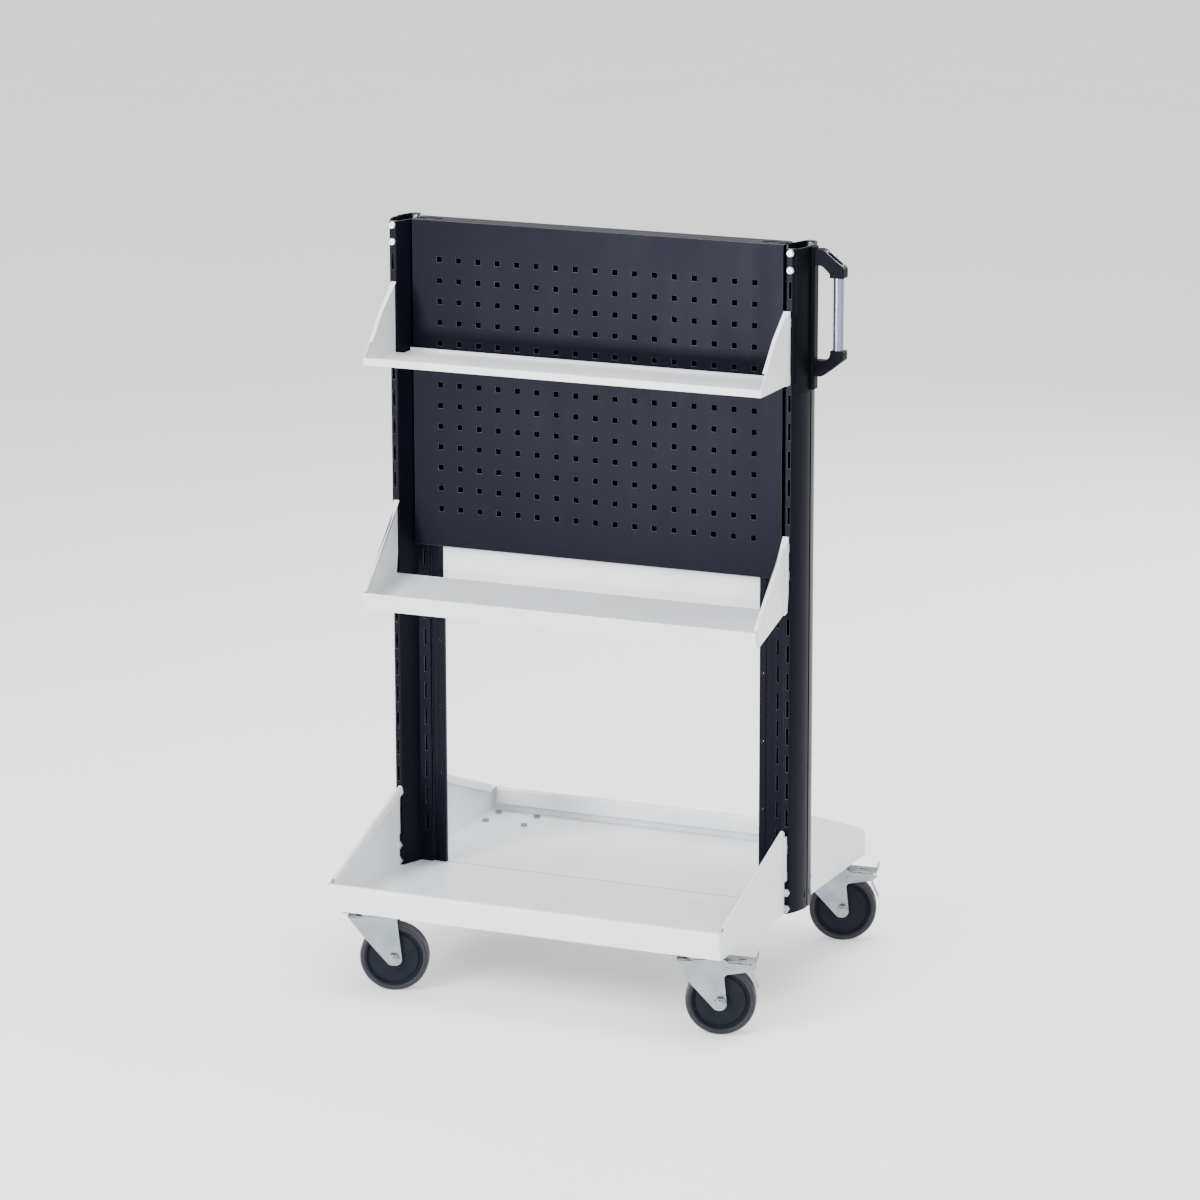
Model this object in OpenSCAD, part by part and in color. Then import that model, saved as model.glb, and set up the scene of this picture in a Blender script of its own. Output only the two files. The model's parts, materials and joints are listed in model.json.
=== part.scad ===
// Mobile workshop trolley: two slotted posts on a wheeled double tray, a pair of perforated
// panels between the posts, two hook-in shelves at the front and a push handle on the right.
// Millimetres, +Z up, the front faces -Y, the floor is Z = 0.

/* [Frame] */
// Height of the posts' top ends above the floor
post_top = 1354; // [1349:1:1364]
// Distance from the middle to the line of the shelf slots in each post
slot_line = 382.2; // [381:0.1:390]
// Distance from the front face of a post's front nose to the rear face of its rear nose
post_depth = 105.4; // [104:0.2:108]
// Wall thickness of the posts
post_wall = 2; // [1.8:0.1:2.2]
// Height of a shelf slot
slot_h = 30.5; // [29:0.5:33]

/* [Panels] */
// Height of the perforated panels
panel_h = 596; // [590:1:600]
// Pitch of the square holes
hole_pitch = 38; // [36:0.5:40]
// Side of a square hole
hole_side = 10; // [8:0.5:12]
// Number of hole columns
hole_cols = 17; // [9:2:17]
// Number of hole rows
hole_rows = 13; // [5:1:13]

/* [Trays] */
// Overall width of the trays
tray_w = 761.4; // [758:0.2:764]
// Depth of one tray, from the seam in the middle to its lip
tray_d = 354.5; // [345:0.5:360]
// Height of a tray's lip
lip_h = 48; // [40:1:60]
// Height of the trays' side walls beside the posts
apex_h = 155; // [140:1:170]
// Sheet thickness of the trays and shelves
sheet = 1.5; // [1.2:0.1:1.6]

/* [Shelves] */
// Slot, counted down from the top one, that holds the top shelf's upper hooks
top_slot = 1; // [1:1:2]
// Slot that holds the tilted shelf's upper hooks
low_slot = 9; // [9:1:10]
// Tilt of the lower shelf's floor
tilt = 16; // [12:1:18]

/* [Handle] */
// Distance from the middle to the outermost face of the handle
handle_reach = 465; // [460:1:475]
// Diameter of the grip tube
grip_d = 18; // [16:1:19]

/* [Castors] */
// Wheel diameter
wheel_d = 125; // [123:1:125]
// Distance from the middle to the swivel axes, across
swivel_x = 316.5; // [310:0.5:320]
// Distance from the middle to the swivel axes, front to back
swivel_y = 298; // [290:1:300]
// Distance from the swivel axis to the wheel's axle
trail = 38.5; // [38:0.5:39]
// Angle by which the castors are turned from pointing straight to the right
castor_turn = 20; // [0:1:20]

/* [Hidden] */
$fn = 48;

anthracite = "#3d414d";
light_grey = "#d8dbdd";
zinc = "#c2c7cb";
black = "#1d1d1f";
satin = "#b4b9c4";
wheel_grey = "#2f3238";
tyre_black = "#3b3a3d";

// A small amount that carries a cut past a face
past = 1;
// Gap between pieces that lie against each other without touching
gap = 0.3;
// Underside of the trays, where the posts stand
deck_z = 155;

// Post section, as distances inwards from the slot line and half thicknesses
bead_x = slot_line - 72.4;
groove_x0 = slot_line - 59.2;
groove_x1 = slot_line - 46.8;
ledge_x = slot_line - 23.9;
nose_x = slot_line - 7.2;
bead_y = 5;
groove_y = 2.6;
ledge_y = 8.5;
nose_y = post_depth / 2;
face_r = 100;
face_x = slot_line - 80.2;
seam_y = 3;
seam_deep = 2.5;
post_reach = face_x + face_r;
ledge_slot_x = slot_line - 35.9;
ledge_slot_w = 4;
nose_slot_w = 5;
slot_count = 22;
slot_pitch = 50;
top_slot_z = post_top - 72.5;
bead_hole_x = slot_line - 66.2;
bead_hole_r = 2.6;
bead_hole_z = 329;
bead_hole_pitch = 125;
bead_hole_count = 9;
// Two small openings beside the seam at the foot of each post
drain_y = 10;
drain_z = 26;
drain_w = 4;
drain_h = 12;

// Clamping screws in the noses
screw_r = 4;
screw_hole_r = 4.4;
top_screw_z = [post_top - 7.5, post_top - 37.3];
foot_screw_z = [deck_z + 39.5, deck_z + 9.5];

// Panels
panel_w = 714;
panel_y = 22.5;
panel_t = 1.2;
panel_top = post_top + 1;
panel_bottom = panel_top - panel_h;
first_row_z = panel_top - 70.3;
hook_t = 2.2;

// Rail between the posts
rail_h = 65;
rail_bolt_z = 704;
rail_z = rail_bolt_z - 15;
lug_w = 30;
lug_h = 35;

// Handle
handle_top = post_top - 5;
handle_base = 1125;
cover_z = 1097;
cover_t = 2;
bar_x = post_reach + 9;
arm_half = 11;
grip_x = 452;
socket_deep = 8;
upper_socket_z = 1300;
lower_socket_z = 1172;
arm_screw_z = [1335, 1140];
slant_z = handle_top - 31;
slant_x = 425;
arm_screw_r = 3;

// Castors
wheel_r = wheel_d / 2;
tyre_half = 16;
leg_in = 18.5;
leg_t = 2.5;
crown_z = 142.5;
crown_t = 2.5;
crown_r = 30;
plate_t = 3;
plate_x = 105;
plate_y = 85;
plate_corner_r = 8;
bolt_end_z = 144.2;
bolt_head_h = 4.5;
bolt_head_r = 7;
nut_h = 6.4;
nut_corner_r = 7.5;
ball_count = 14;
ball_r = 2.15;
race_r = 21.5;
bolt_x = 80;
bolt_y = 60;
kingpin_r = 6;
axle_r = 6;
bend_x = -13;
flare = 6;
pedal_half = 18.1;
pivot = [10, 123];
pivot_r = 2.5;
pin_from = 16.3;
front_left = [-1, -1];
front_right = [1, -1];
rear_left = [-1, 1];
rear_right = [1, 1];
corners = [front_left, front_right, rear_left, rear_right];

// The frame's middle lies this far from the middle of the whole trolley's width
centre_shift = (handle_reach - post_reach) / 2;

// ---- Helpers ----

// Moves a piece from the frame's own middle to the middle of the whole trolley
module placed() {
    translate([-centre_shift, 0, 0]) children();
}

// The piece and its mirror image, left and right
module both_sides() {
    children();
    mirror([1, 0, 0]) children();
}

// The piece and its mirror image, front and rear
module front_and_rear() {
    children();
    mirror([0, 1, 0]) children();
}

// A box between two opposite corners
module box(low, high) {
    translate(low) cube(high - low);
}

// A flat outline drawn in (Y, Z), t thick along X from x0
module side_plate(x0, t, outline) {
    translate([x0, 0, 0]) rotate([90, 0, 90]) linear_extrude(t) polygon(outline);
}

// A flat outline drawn in (X, Z), reaching half to each side of y = 0
module cross_plate(half, outline) {
    translate([0, half, 0]) rotate([90, 0, 0]) linear_extrude(2 * half) polygon(outline);
}

function unit(v) = v / norm(v);
function turn_sign(u, v) = u[0] * v[1] - u[1] * v[0] > 0 ? 1 : -1;

// A closed counter-clockwise outline moved inwards by d
function inset(pts, d) =
    let (n = len(pts))
    [for (i = [0:n - 1])
        let (u = unit(pts[i] - pts[(i + n - 1) % n]), v = unit(pts[(i + 1) % n] - pts[i]))
        pts[i] + d * [-u[1] - v[1], u[0] + v[0]] / (1 + u * v)];

// The corner radii of that inset outline
function inset_radii(pts, radii, d) =
    let (n = len(pts))
    [for (i = [0:n - 1])
        let (u = unit(pts[i] - pts[(i + n - 1) % n]), v = unit(pts[(i + 1) % n] - pts[i]))
        radii[i] == 0 ? 0 : turn_sign(u, v) > 0 ? max(radii[i] - d, 0.3) : radii[i] + d];

// A closed outline with each corner rounded to its own radius
function rounded(pts, radii) =
    let (n = len(pts))
    [for (i = [0:n - 1])
        let (u = unit(pts[i] - pts[(i + n - 1) % n]), v = unit(pts[(i + 1) % n] - pts[i]),
             turn = acos(max(-1, min(1, u * v))), side = turn_sign(u, v), r = radii[i],
             start = pts[i] - u * r * tan(turn / 2),
             steps = max(1, ceil(turn / 15)))
        each r == 0 ? [pts[i]]
            : [for (s = [0:steps])
                let (a = side * turn * s / steps, c = start + side * r * [-u[1], u[0]],
                     arm = start - c)
                c + [arm[0] * cos(a) - arm[1] * sin(a), arm[0] * sin(a) + arm[1] * cos(a)]]];

// The outline of a strip t thick along an open centre line
function strip(path, t) =
    let (n = len(path),
         side = [for (i = [0:n - 1])
            let (u = unit(path[max(i, 1)] - path[max(i, 1) - 1]),
                 v = unit(path[min(i, n - 2) + 1] - path[min(i, n - 2)]))
            [-u[1] - v[1], u[0] + v[0]] / (1 + u * v) * t / 2])
    concat([for (i = [0:n - 1]) path[i] - side[i]],
           [for (i = [n - 1:-1:0]) path[i] + side[i]]);

// ---- Post section ----

nose_corner_x = face_x + sqrt(face_r * face_r - nose_y * nose_y);
arc_steps = 9;
arc_from = asin(nose_y / face_r);
arc_to = asin(seam_y / face_r);

post_front = concat(
    [[bead_x, -bead_y], [groove_x0, -bead_y], [groove_x0, -groove_y], [groove_x1, -groove_y],
     [groove_x1, -ledge_y], [ledge_x, -ledge_y], [nose_x, -nose_y]],
    [for (i = [0:arc_steps])
        let (a = -arc_from + (arc_from - arc_to) * i / arc_steps)
        [face_x + face_r * cos(a), face_r * sin(a)]],
    [[face_x + face_r * cos(arc_to) - seam_deep, -seam_y]]);
post_outline = concat(post_front,
    [for (i = [len(post_front) - 1:-1:0]) [post_front[i][0], -post_front[i][1]]]);
front_radii = concat([1.5, 1, 0, 0, 1.5, 1.5, 2.5, 2.5], [for (i = [1:arc_steps]) 0], [0]);
post_radii = concat(front_radii, [for (i = [len(front_radii) - 1:-1:0]) front_radii[i]]);

// The right post's section grown outwards by the given amount, filled
module post_shape(grow) {
    polygon(rounded(inset(post_outline, -grow), inset_radii(post_outline, post_radii, -grow)));
}

module post_section() {
    difference() {
        post_shape(0);
        post_shape(-post_wall);
    }
}

module post(handle_holes) {
    difference() {
        translate([0, 0, deck_z]) linear_extrude(post_top - deck_z) post_section();
        for (k = [0:slot_count - 1]) {
            z = top_slot_z - slot_pitch * k;
            translate([slot_line, 0, z])
                cube([nose_slot_w, 2 * nose_y + 2 * past, slot_h], center = true);
            translate([ledge_slot_x, 0, z])
                cube([ledge_slot_w, 2 * ledge_y + 2 * past, slot_h], center = true);
        }
        for (k = [0:bead_hole_count - 1])
            translate([bead_hole_x, 0, bead_hole_z + bead_hole_pitch * k])
                rotate([90, 0, 0])
                    cylinder(h = 2 * bead_y + 2 * past, r = bead_hole_r, center = true);
        for (z = concat(top_screw_z, foot_screw_z))
            translate([slot_line, 0, z])
                rotate([90, 0, 0])
                    cylinder(h = 2 * nose_y + 2 * past, r = screw_hole_r, center = true);
        for (y = [-drain_y, drain_y])
            translate([post_reach, y, deck_z + drain_z])
                cube([4 * post_wall, drain_w, drain_h], center = true);
        if (handle_holes)
            for (z = arm_screw_z)
                translate([post_reach - seam_deep - 2 * post_wall, 0, z])
                    rotate([0, 90, 0]) cylinder(h = 4 * post_wall, r = arm_screw_r + gap);
    }
}

module right_post() {
    color(anthracite) placed() post(true);
}

module left_post() {
    color(anthracite) placed() mirror([1, 0, 0]) post(false);
}

// ---- Base and rail ----

base_half_y = 154;
base_t = 2;
base_flange = 20;
base_flange_half = 300;
ear_past_line = 3;
ear_short_of_nose = 4;

// Plate under the trays that ties the posts' feet together, with two folded-down edges
module base_plate() {
    half_x = tray_w / 2 - 2;
    ear_x = slot_line + ear_past_line;
    ear_y = nose_y - ear_short_of_nose;
    color(anthracite) placed() {
        box([-half_x, -base_half_y, deck_z - base_t], [half_x, base_half_y, deck_z]);
        box([-ear_x, -ear_y, deck_z - base_t], [ear_x, ear_y, deck_z]);
        front_and_rear()
            box([-base_flange_half, -base_half_y, deck_z - base_t - base_flange],
                [base_flange_half, base_t - base_half_y, deck_z - base_t / 2]);
    }
}

// Channel between the posts' beads, open to the rear, with a lug behind each bead
module cross_rail() {
    reach = bead_x - gap / 2;
    color(light_grey) placed() difference() {
        union() {
            box([-reach, -bead_y, rail_z], [reach, sheet - bead_y, rail_z + rail_h]);
            for (z = [rail_z, rail_z + rail_h - sheet])
                box([-reach, -bead_y, z], [reach, bead_y + sheet, z + sheet]);
            both_sides()
                box([reach - lug_w, bead_y, rail_z],
                    [groove_x0 - gap, bead_y + sheet, rail_z + lug_h]);
        }
        both_sides()
            translate([bead_hole_x, bead_y, rail_bolt_z])
                rotate([90, 0, 0]) cylinder(h = 4 * sheet, r = bead_hole_r, center = true);
    }
}

// Small hex bolts through the beads and the rail's lugs, with their nuts
module rail_bolts() {
    r = 2.5;
    corner_r = 4.6;
    head_h = 3.5;
    nut_h = 4;
    color(zinc) placed() both_sides()
        translate([bead_hole_x, 0, rail_bolt_z]) rotate([-90, 0, 0]) {
            translate([0, 0, -bead_y]) cylinder(h = 2 * bead_y + sheet + nut_h + 2, r = r);
            translate([0, 0, -bead_y - head_h]) cylinder(h = head_h, r = corner_r, $fn = 6);
            translate([0, 0, bead_y + sheet]) cylinder(h = nut_h, r = corner_r, $fn = 6);
        }
}

// ---- Panels ----

panel_hook_slots = [0, 3, 6, 9];
panel_hook_h = 16;
panel_hook_drop = 6;
panel_fold = 14;

// One hook that passes through a ledge slot of the right post and drops behind its wall
module panel_hook(k) {
    z = top_slot_z - slot_pitch * k - slot_h / 2;
    x0 = ledge_slot_x - hook_t / 2;
    inner = ledge_y - post_wall - gap;
    box([x0, -ledge_y - panel_t, z], [x0 + hook_t, hook_t - inner, z + panel_hook_h]);
    box([x0, -inner, z - panel_hook_drop], [x0 + hook_t, hook_t - inner, z + panel_hook_h]);
}

module front_panel_shape() {
    half = panel_w / 2;
    back = ledge_y + 0.05;
    difference() {
        union() {
            box([-half, -panel_y, panel_bottom], [half, panel_t - panel_y, panel_top]);
            for (z = [panel_bottom, panel_top - panel_t])
                box([-half, -panel_y, z], [half, panel_fold - panel_y, z + panel_t]);
            for (z = [panel_bottom, panel_top - panel_t])
                box([-bead_x + 2, -panel_y, z], [bead_x - 2, -gap, z + panel_t]);
            both_sides() {
                box([half - panel_t, -panel_y, panel_bottom], [half, -back, panel_top]);
                box([ledge_slot_x - 5, -back - panel_t, panel_bottom], [half, -back, panel_top]);
                for (k = panel_hook_slots)
                    panel_hook(k);
            }
        }
        for (c = [0:hole_cols - 1], r = [0:hole_rows - 1])
            translate([(c - (hole_cols - 1) / 2) * hole_pitch, -panel_y,
                       first_row_z - r * hole_pitch])
                cube([hole_side, 4 * panel_t, hole_side], center = true);
    }
}

module front_panel() {
    color(anthracite) placed() front_panel_shape();
}

module rear_panel() {
    color(anthracite) placed() mirror([0, 1, 0]) front_panel_shape();
}

// ---- Trays ----

hook_plate_t = 2.3;
hook_x = slot_line - hook_plate_t / 2;
hem_w = 9.5;
hem_drop = 31;
side_hem_w = 7;
side_hem_drop = 15;
side_x = tray_w / 2;
slope_from = [-tray_d, deck_z + lip_h];
wall_back = nose_y + 5.4;
hem_start = 18;
slope_to = [-wall_back, deck_z + apex_h];
slope = atan((slope_to[1] - slope_from[1]) / (slope_to[0] - slope_from[0]));
slope_len = norm(slope_to - slope_from);
corner_r = 5;

// A hook on the right hook plate: it rests in nose slot k and drops behind the nose's wall
module shelf_hook(k) {
    z = top_slot_z - slot_pitch * k - slot_h / 2;
    inner = nose_y - post_wall - gap;
    box([hook_x, -nose_y - 4, z], [hook_x + hook_plate_t, -inner + 3, z + 15]);
    box([hook_x, -inner, z - 8], [hook_x + hook_plate_t, -inner + 3, z + 15]);
}

// Centre line of a wall h high whose edge rolls over and hangs down inside
function hem_line(h, w, drop, last) = concat(h > w / 2 ? [[0, 0]] : [],
    [for (a = [180:-22.5:last]) [w / 2 + w / 2 * cos(a), h - w / 2 + w / 2 * sin(a)]],
    last > 0 ? [] : [[w, h - drop]]);

// A hem along the slanted top edge of a side wall; the wall's outer face is at x = 0
module slanted_hem(from, angle, length, w, drop, t) {
    translate([0, from[0], from[1]]) rotate([angle, 0, 0])
        translate([-t / 2, length, -w / 2 - t / 2]) rotate([90, 0, 0]) linear_extrude(length)
            polygon(strip([for (p = hem_line(w / 2, w, drop, 0)) [-p[0], p[1]]], t));
}

module tray_side() {
    low = side_hem_w / 2;
    hook_top = slope_to[1] - 12;
    hook_low = top_slot_z - slot_pitch * (slot_count - 1) - slot_h / 2;
    translate([side_x, 0, 0]) {
        side_plate(-sheet, sheet, [
            [-tray_d + corner_r, deck_z], [-wall_back, deck_z], [-wall_back, slope_to[1] - low],
            [slope_from[0] + corner_r, slope_from[1] - low + corner_r * tan(slope)]]);
        slanted_hem(slope_from + hem_start * [1, tan(slope)], slope,
                    slope_len - hem_start / cos(slope) - sheet, side_hem_w, side_hem_drop, sheet);
    }
    // Plate with the hooks that hold the wall to the post's nose
    side_plate(side_x - sheet / 2, hook_x + hook_plate_t - side_x + sheet / 2, [
        [-wall_back - 10, hook_low], [-nose_y - gap, hook_low], [-nose_y - gap, hook_top],
        [-wall_back - 10, hook_top]]);
    shelf_hook(slot_count - 2);
    shelf_hook(slot_count - 1);
}

module tray_floor_outline() {
    difference() {
        polygon(rounded(
            [[-side_x, -tray_d], [side_x, -tray_d], [side_x, -gap / 2], [-side_x, -gap / 2]],
            [corner_r, corner_r, 0, 0]));
        both_sides() post_shape(0.4);
    }
}

module front_tray_shape() {
    difference() {
        union() {
            translate([0, 0, deck_z]) linear_extrude(sheet) tray_floor_outline();
            // Rounded corners and the lip's outer skin
            translate([0, 0, deck_z]) linear_extrude(lip_h - hem_w / 2 - sheet / 2) difference() {
                tray_floor_outline();
                polygon(rounded(
                    [[sheet - side_x, sheet - tray_d], [side_x - sheet, sheet - tray_d],
                     [side_x - sheet, 0], [sheet - side_x, 0]],
                    [corner_r - sheet, corner_r - sheet, 0, 0]));
                translate([-side_x - past, corner_r + 8 - tray_d])
                    square([tray_w + 2 * past, tray_d]);
            }
            // The rolled top edge, with its inner skin stopping short of the corners
            for (half = [[side_x - 4, 90], [side_x - 13, 0]])
                translate([-half[0], -tray_d + sheet / 2, deck_z]) rotate([90, 0, 90])
                    linear_extrude(2 * half[0])
                        polygon(strip(hem_line(lip_h - sheet / 2, hem_w, hem_drop, half[1]), sheet));
            both_sides() tray_side();
        }
        both_sides() for (sx = [-1, 1], sy = [-1, 1])
            translate([swivel_x + sx * bolt_x / 2, -swivel_y + sy * bolt_y / 2, deck_z - past])
                cylinder(h = sheet + 2 * past, r = screw_hole_r);
    }
}

module front_tray() {
    color(light_grey) placed() front_tray_shape();
}

module rear_tray() {
    color(light_grey) placed() mirror([0, 1, 0]) front_tray_shape();
}

// ---- Shelves ----

shelf_x = 380;
wall_t = 2;
floor_back = 25;
floor_back_half = 361;

top_floor_z = 1115;
top_front = 179.6;
top_lip = 13.3;
top_apex = [-58, 1245];
top_bend = [-111, 1203];
top_low = [-156, 1153];

module top_shelf_side() {
    rear_y = -nose_y - gap;
    side_plate(shelf_x - wall_t, wall_t, [
        [-top_front, top_floor_z], [rear_y, top_floor_z], [rear_y, top_apex[1]], top_apex,
        top_bend, top_low, [-top_front, top_floor_z + top_lip]]);
    // Narrow flange along the sloping edge
    for (edge = [[top_low, top_bend], [top_bend, top_apex]])
        side_plate(shelf_x - 7, 7, strip(edge, sheet));
    side_plate(shelf_x, hook_x + hook_plate_t - shelf_x, [
        [rear_y - 14, top_floor_z], [rear_y, top_floor_z], [rear_y, top_apex[1]],
        [rear_y - 5, top_apex[1]], [rear_y - 14, top_apex[1] - 9]]);
    shelf_hook(top_slot);
    shelf_hook(top_slot + 2);
}

module top_shelf() {
    rear_y = -nose_y - gap;
    color(light_grey) placed() {
        box([-shelf_x, -top_front, top_floor_z], [shelf_x, rear_y, top_floor_z + sheet]);
        box([-floor_back_half, rear_y - past, top_floor_z],
            [floor_back_half, -floor_back, top_floor_z + sheet]);
        box([-floor_back_half, -floor_back - sheet, top_floor_z],
            [floor_back_half, -floor_back, top_floor_z + 7]);
        // Front lip, folded double, with a round top edge
        box([-shelf_x, -top_front, top_floor_z],
            [shelf_x, 2 * sheet - top_front, top_floor_z + top_lip - sheet]);
        translate([0, sheet - top_front, top_floor_z + top_lip - sheet])
            rotate([0, 90, 0]) cylinder(h = 2 * shelf_x, r = sheet, center = true);
        both_sides() top_shelf_side();
    }
}

low_rear = [-59, 709];
low_wall_z = 746;
low_depth = 137;
low_lip = 33.5;
low_apex = [-55, 844.5];
low_bend = [-86, 805.6];
low_dir = [-cos(tilt), -sin(tilt)];
low_up = [-sin(tilt), cos(tilt)];
low_front = low_rear + low_depth * low_dir;
low_lip_top = low_front + low_lip * low_up;

module lower_shelf_side() {
    rear_y = -nose_y - gap;
    wall_front = low_lip_top - 7 * low_dir;
    side_plate(shelf_x - wall_t, wall_t, [
        low_front, low_rear, [rear_y, low_wall_z], [rear_y, low_apex[1]], low_apex, low_bend,
        wall_front]);
    for (edge = [[wall_front, low_bend], [low_bend, low_apex]])
        side_plate(shelf_x - 7, 7, strip(edge, sheet));
    side_plate(shelf_x, hook_x + hook_plate_t - shelf_x, [
        low_rear + [-10, -3], low_rear, [rear_y, low_wall_z], [rear_y, low_apex[1]],
        [rear_y - 4, low_apex[1]], [rear_y - 14, low_apex[1] - 14], [rear_y - 14, low_wall_z]]);
    shelf_hook(low_slot);
    shelf_hook(low_slot + 1);
}

module lower_shelf() {
    back = low_rear - (floor_back + low_rear[0] + 0.5) / cos(tilt) * low_dir;
    color(light_grey) placed() {
        translate([-shelf_x, 0, 0]) side_plate(0, 2 * shelf_x,
            strip([low_rear, low_front, low_lip_top] + [for (i = [0:2]) low_up * sheet / 2],
                  sheet));
        translate([-floor_back_half, 0, 0]) side_plate(0, 2 * floor_back_half,
            strip([back, low_rear + 2 * low_dir] + [for (i = [0:1]) low_up * sheet / 2], sheet));
        both_sides() lower_shelf_side();
    }
}

// ---- Screws in the noses ----

// A round-headed screw standing on z = 0, with a hexagon socket
module button_screw(length, r, head_r, head_h, socket_r) {
    difference() {
        rotate_extrude() polygon(concat(
            [[0, -length], [r, -length], [r, 0], [head_r, 0]],
            [for (a = [0:15:60]) [head_r - head_h * 1.1 * (1 - cos(a)), head_h * sin(a) / sin(60)]],
            [[0, head_h]]));
        translate([0, 0, head_h - 2.4]) cylinder(h = 3, r = socket_r, $fn = 6);
    }
}

// A hexagon-headed screw standing on z = 0
module hex_screw(length, r, corner_r, head_h) {
    translate([0, 0, -length]) cylinder(h = length + past, r = r);
    intersection() {
        cylinder(h = head_h, r = corner_r, $fn = 6);
        rotate_extrude() polygon([[0, 0], [corner_r + 1, 0], [corner_r + 1, head_h - 1.4],
                                  [corner_r - 1.4, head_h], [0, head_h]]);
    }
}

module top_screws() {
    color(zinc) placed() both_sides() front_and_rear()
        for (z = top_screw_z)
            translate([slot_line, -nose_y, z]) rotate([90, 0, 0])
                button_screw(11, screw_r, 7, 4, 2.9);
}

module bottom_screws() {
    color(zinc) placed() both_sides() front_and_rear()
        for (z = foot_screw_z)
            translate([slot_line, -nose_y, z]) rotate([90, 0, 0])
                hex_screw(11, screw_r, 7.7, 5.2);
}

strip_w = 20;
strip_t = 6;
upper_strip_margin = 7;
lower_strip_margin = 9.5;

// Threaded strips inside the noses, behind each pair of screws; the lower ones stand on the base
module nut_strips() {
    color(zinc) placed() both_sides() front_and_rear()
        for (strip_z = [[top_screw_z, upper_strip_margin], [foot_screw_z, lower_strip_margin]])
            difference() {
                translate([0, 0, min(strip_z[0]) - strip_z[1]])
                    linear_extrude(max(strip_z[0]) - min(strip_z[0]) + 2 * strip_z[1])
                        intersection() {
                            post_shape(-post_wall - 0.1);
                            translate([nose_x, -nose_y + post_wall + gap])
                                square([strip_w, strip_t]);
                        }
                for (z = strip_z[0])
                    translate([slot_line, -nose_y, z]) rotate([90, 0, 0])
                        cylinder(h = 30, r = screw_r, center = true);
            }
}

// ---- Handle ----

// Thin cover that wraps the right post's rounded face
module handle_cover() {
    color(black) placed() difference() {
        translate([face_x, 0, cover_z])
            cylinder(h = post_top - cover_z, r = face_r + cover_t, $fn = 180);
        translate([face_x, 0, cover_z - past])
            cylinder(h = post_top, r = face_r + 0.05, $fn = 180);
        front_and_rear()
            box([face_x, -2 * face_r, 0], [post_reach + face_r, 5 - nose_y, 2 * post_top]);
        box([face_x - 2 * face_r, -2 * face_r, 0], [face_x, 2 * face_r, 2 * post_top]);
        for (z = arm_screw_z)
            translate([face_x, 0, z])
                rotate([0, 90, 0]) cylinder(h = 2 * face_r, r = arm_screw_r + gap);
    }
}

// Removes what lies inside the cover's outer face
module beyond_cover() {
    difference() {
        children();
        translate([face_x, 0, 0]) cylinder(h = 2 * post_top, r = face_r + cover_t + 0.02, $fn = 180);
        for (z = arm_screw_z)
            translate([face_x, 0, z])
                rotate([0, 90, 0]) cylinder(h = bar_x - face_x + 12, r = arm_screw_r + 0.1);
    }
}

module handle_bar() {
    color(black) placed() beyond_cover()
        translate([0, 0, cover_z + 4]) linear_extrude(handle_top - cover_z)
            polygon(rounded(
                [[face_x + face_r, -arm_half], [bar_x, -arm_half],
                 [bar_x, arm_half], [face_x + face_r, arm_half]],
                [0, 3, 3, 0]));
}

upper_arm = [
    [bar_x, handle_top - 28], [slant_x - 1, handle_top - 28], [438.6, handle_top - 42],
    [438.6, upper_socket_z], [handle_reach, upper_socket_z], [handle_reach, slant_z],
    [slant_x, handle_top], [bar_x, handle_top]];
upper_radii = [0, 16, 5, 1, 2, 9, 9, 0];
lower_arm = [
    [bar_x, handle_base], [slant_x, handle_base], [handle_reach, handle_base + 31],
    [handle_reach, lower_socket_z], [440.5, lower_socket_z], [440.5, handle_base + 28],
    [bar_x, handle_base + 28]];
lower_radii = [0, 9, 4, 2, 1, 15, 0];

// Room for an arm's screw head, reached along X from the outside
module screw_access(z) {
    translate([bar_x + 10, 0, z]) rotate([0, 90, 0]) cylinder(h = 100, r = 5.3);
}

module handle_upper_arm() {
    slant = atan((handle_top - slant_z) / (handle_reach - slant_x));
    color(black) placed() difference() {
        cross_plate(arm_half, rounded(upper_arm, upper_radii));
        translate([grip_x, 0, upper_socket_z - past])
            cylinder(h = socket_deep + past, r = grip_d / 2);
        translate([bar_x - past, 0, arm_screw_z[0]])
            rotate([0, 90, 0]) cylinder(h = 40, r = arm_screw_r + 0.1);
        screw_access(arm_screw_z[0]);
        // Long oval recess in the slanted face
        translate([(handle_reach + slant_x) / 2, 0, (handle_top + slant_z) / 2]) rotate([0, slant, 0])
            translate([0, 0, -2]) linear_extrude(20) {
                for (x = [-13, 13]) translate([x, 0]) circle(r = 5.5);
                square([26, 11], center = true);
            }
    }
}

module handle_lower_arm() {
    color(black) placed() difference() {
        cross_plate(arm_half, rounded(lower_arm, lower_radii));
        translate([grip_x, 0, lower_socket_z - socket_deep])
            cylinder(h = socket_deep + past, r = grip_d / 2);
        translate([bar_x - past, 0, arm_screw_z[1]])
            rotate([0, 90, 0]) cylinder(h = 40, r = arm_screw_r + 0.1);
        screw_access(arm_screw_z[1]);
    }
}

module handle_tube() {
    color(satin) placed() translate([grip_x, 0, lower_socket_z - socket_deep]) difference() {
        cylinder(h = upper_socket_z - lower_socket_z + 2 * socket_deep, r = grip_d / 2);
        translate([0, 0, -past])
            cylinder(h = upper_socket_z, r = grip_d / 2 - 1.5);
    }
}

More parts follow.
